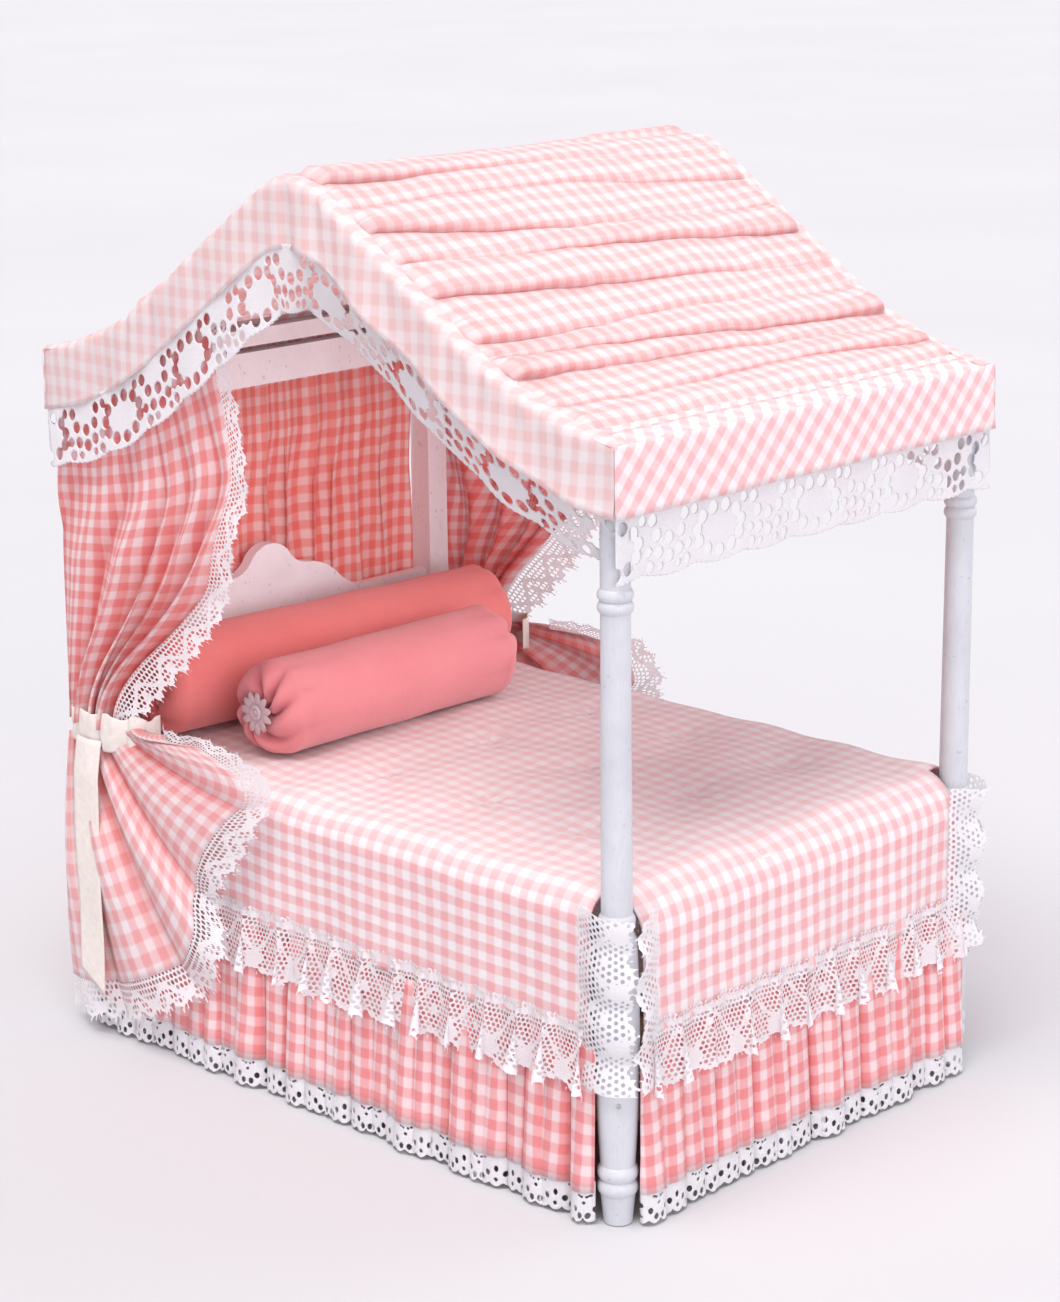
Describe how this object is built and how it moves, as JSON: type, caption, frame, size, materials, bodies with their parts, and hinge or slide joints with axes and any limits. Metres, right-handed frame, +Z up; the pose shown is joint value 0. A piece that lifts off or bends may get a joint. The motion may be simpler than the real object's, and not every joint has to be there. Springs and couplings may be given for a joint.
{
  "type": "dolls house four poster bed",
  "caption": "Miniature canopy bed with turned foot posts, a peaked gathered cloth roof, side curtains tied back, a lace-edged coverlet and dust ruffle, and loose bolsters.",
  "frame": {"origin": "on the floor, under the middle of the bed", "axes": "+X across the bed, +Y from the foot to the head, +Z up"},
  "size_m": [0.1314, 0.1764, 0.2002],
  "materials": {
    "white_paint": "satin white paint",
    "bare_wood": "plain, unpainted",
    "nail_steel": "plain",
    "gingham": "woven pink and white check",
    "coral_cotton": "plain woven cotton",
    "wadding": "plain",
    "white_lace": "open lace",
    "ivory_ribbon": "satin",
    "daisy_lace": "knotted thread"
  },
  "bodies": {
    "bedstead": {"back_curtain": "gingham", "band_foot": "gingham", "band_head": "gingham", "band_left": "gingham", "band_right": "gingham", "base_board": "bare_wood", "canopy_arch_left": "bare_wood", "canopy_arch_right": "bare_wood", "canopy_foot_bar": "bare_wood", "canopy_head_bar": "white_paint", "canopy_ridge_bar": "bare_wood", "corner_block_left": "bare_wood", "corner_block_right": "bare_wood", "coverlet": "gingham", "coverlet_lace_foot": "white_lace", "coverlet_lace_left": "white_lace", "coverlet_lace_right": "white_lace", "curtain_lace_left": "white_lace", "curtain_lace_right": "white_lace", "curtain_rail": "white_paint", "dust_ruffle_foot": "gingham", "dust_ruffle_left": "gingham", "dust_ruffle_right": "gingham", "flare_lace_left": "white_lace", "flare_lace_right": "white_lace", "foot_post_left": "white_paint", "foot_post_right": "white_paint", "foot_rail": "bare_wood", "head_post_left": "white_paint", "head_post_right": "white_paint", "head_rail": "bare_wood", "headboard": "white_paint", "mattress": "wadding", "post_nails": "nail_steel", "ribbon_tail_left": "ivory_ribbon", "ribbon_tail_right": "ivory_ribbon", "ribbon_tie_left": "ivory_ribbon", "ribbon_tie_right": "ivory_ribbon", "roof_cloth": "gingham", "ruffle_lace_foot": "white_lace", "ruffle_lace_left": "white_lace", "ruffle_lace_right": "white_lace", "side_curtain_left": "gingham", "side_curtain_right": "gingham", "side_rail_left": "bare_wood", "side_rail_right": "bare_wood", "valance_lace_foot": "white_lace", "valance_lace_head": "white_lace", "valance_lace_left": "white_lace", "valance_lace_right": "white_lace"},
    "back_bolster": {"back_bolster": "coral_cotton"},
    "neck_roll": {"neck_roll": "coral_cotton", "daisy_left": "daisy_lace", "daisy_right": "daisy_lace"}
  },
  "joints": [
    {"name": "back_bolster_lift", "type": "slide", "parent": "bedstead", "child": "back_bolster", "axis": [0, 0, 1], "range_m": [0, 0.045]},
    {"name": "neck_roll_lift", "type": "slide", "parent": "bedstead", "child": "neck_roll", "axis": [0, 0, 1], "range_m": [0, 0.06]}
  ]
}
